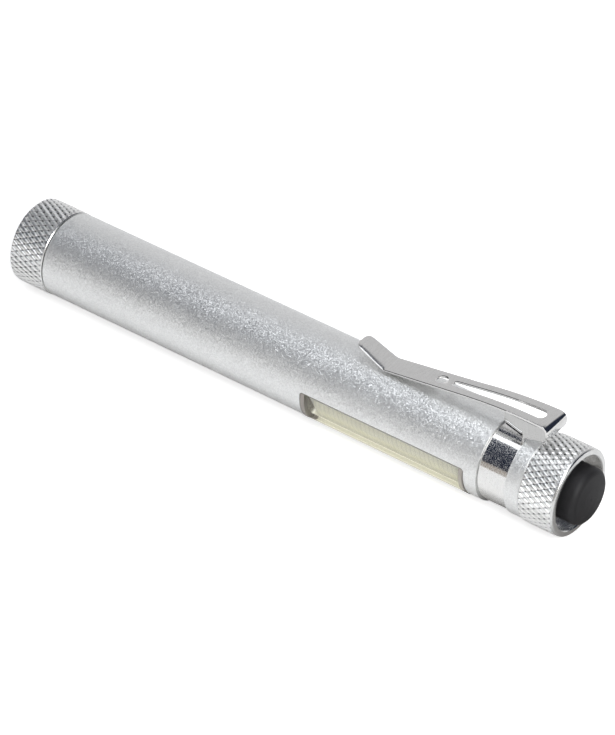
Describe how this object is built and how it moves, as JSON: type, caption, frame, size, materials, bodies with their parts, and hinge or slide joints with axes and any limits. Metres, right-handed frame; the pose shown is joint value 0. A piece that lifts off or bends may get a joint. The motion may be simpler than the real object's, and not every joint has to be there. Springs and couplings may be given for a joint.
{
  "type": "penlight",
  "caption": "Slim metal penlight with a front lamp, a strip lamp in its side, knurled screw-off head and tail, push button and spring pocket clip.",
  "frame": {"origin": "on the axis of the barrel, half way between the rim of the head and the rim of the tail", "axes": "+X along the axis from the lamp to the push button, +Z from the axis to the clip, +Y completes a right-handed frame"},
  "size_m": [0.1381, 0.0184, 0.0238],
  "materials": {
    "alloy": "silver anodised, fine bead-blasted satin",
    "bright_steel": "polished sheet steel with bright edges",
    "spring_steel": "drawn wire",
    "brass_parts": "turned, slightly dull",
    "black_rubber": "matte black with faint lint",
    "black_plastic": "moulded, matte",
    "white_plastic": "moulded, matte",
    "clear_lens": "clear, polished",
    "clear_cover": "clear, glossy moulded plastic",
    "lamp_yellow": "pale yellow phosphor gel",
    "white_board": "white solder resist",
    "green_board": "green solder resist",
    "bright_cup": "metallised reflector, smooth",
    "cell_jacket": "printed jacket without any words"
  },
  "bodies": {
    "barrel_group": {"barrel": "alloy", "strip_cover": "clear_cover", "strip_lamp": "lamp_yellow", "strip_board": "white_board", "battery_carrier": "black_plastic", "front_battery": "cell_jacket", "rear_battery": "cell_jacket", "tail_collar": "alloy"},
    "head_seal_group": {"head_seal": "black_rubber"},
    "head_group": {"head_ring": "alloy", "lens_gasket": "black_rubber", "head_lens": "clear_lens", "reflector": "bright_cup", "head_led": "lamp_yellow", "led_board": "white_board", "led_pill": "brass_parts", "contact_insulator": "black_plastic", "front_contact": "brass_parts"},
    "tail_seal_group": {"tail_seal": "black_rubber"},
    "tail_group": {"tail_cap": "alloy", "button_ring": "alloy", "switch_body": "black_plastic", "tail_board": "green_board", "switch_lock_ring": "brass_parts", "tail_spring": "spring_steel"},
    "button_group": {"push_button": "black_rubber", "switch_plunger": "white_plastic"},
    "clip_group": {"clip_root": "bright_steel"},
    "arm_group": {"clip_arm": "bright_steel"}
  },
  "joints": [
    {"name": "head_travel", "type": "slide", "parent": "barrel_group", "child": "head_seal_group", "axis": [-1, 0, 0], "range_m": [0, 0.004]},
    {"name": "head_screw", "type": "hinge", "parent": "head_seal_group", "child": "head_group", "pos_m": [-0.0592, 0, 0], "axis": [-1, 0, 0], "range_deg": [0, 1440]},
    {"name": "tail_travel", "type": "slide", "parent": "barrel_group", "child": "tail_seal_group", "axis": [1, 0, 0], "range_m": [0, 0.004]},
    {"name": "tail_screw", "type": "hinge", "parent": "tail_seal_group", "child": "tail_group", "pos_m": [0.0596, 0, 0], "axis": [1, 0, 0], "range_deg": [0, 1440]},
    {"name": "button_press", "type": "slide", "parent": "tail_group", "child": "button_group", "axis": [-1, 0, 0], "range_m": [0, 0.002], "stiffness_N_per_m": 1200, "springref_m": -0.001},
    {"name": "clip_turn", "type": "hinge", "parent": "barrel_group", "child": "clip_group", "pos_m": [0.05303, 0, 0], "axis": [1, 0, 0], "continuous": true},
    {"name": "arm_lift", "type": "hinge", "parent": "clip_group", "child": "arm_group", "pos_m": [0.05218, 0, 0.0146], "axis": [0, 1, 0], "range_deg": [0, 6], "stiffness_Nm_per_rad": 2.4, "springref_deg": -1.15}
  ],
  "couplings": [
    {"joint": "head_screw", "follows": "head_travel", "rad_per_m": 6283.2},
    {"joint": "tail_screw", "follows": "tail_travel", "rad_per_m": 6283.2}
  ]
}
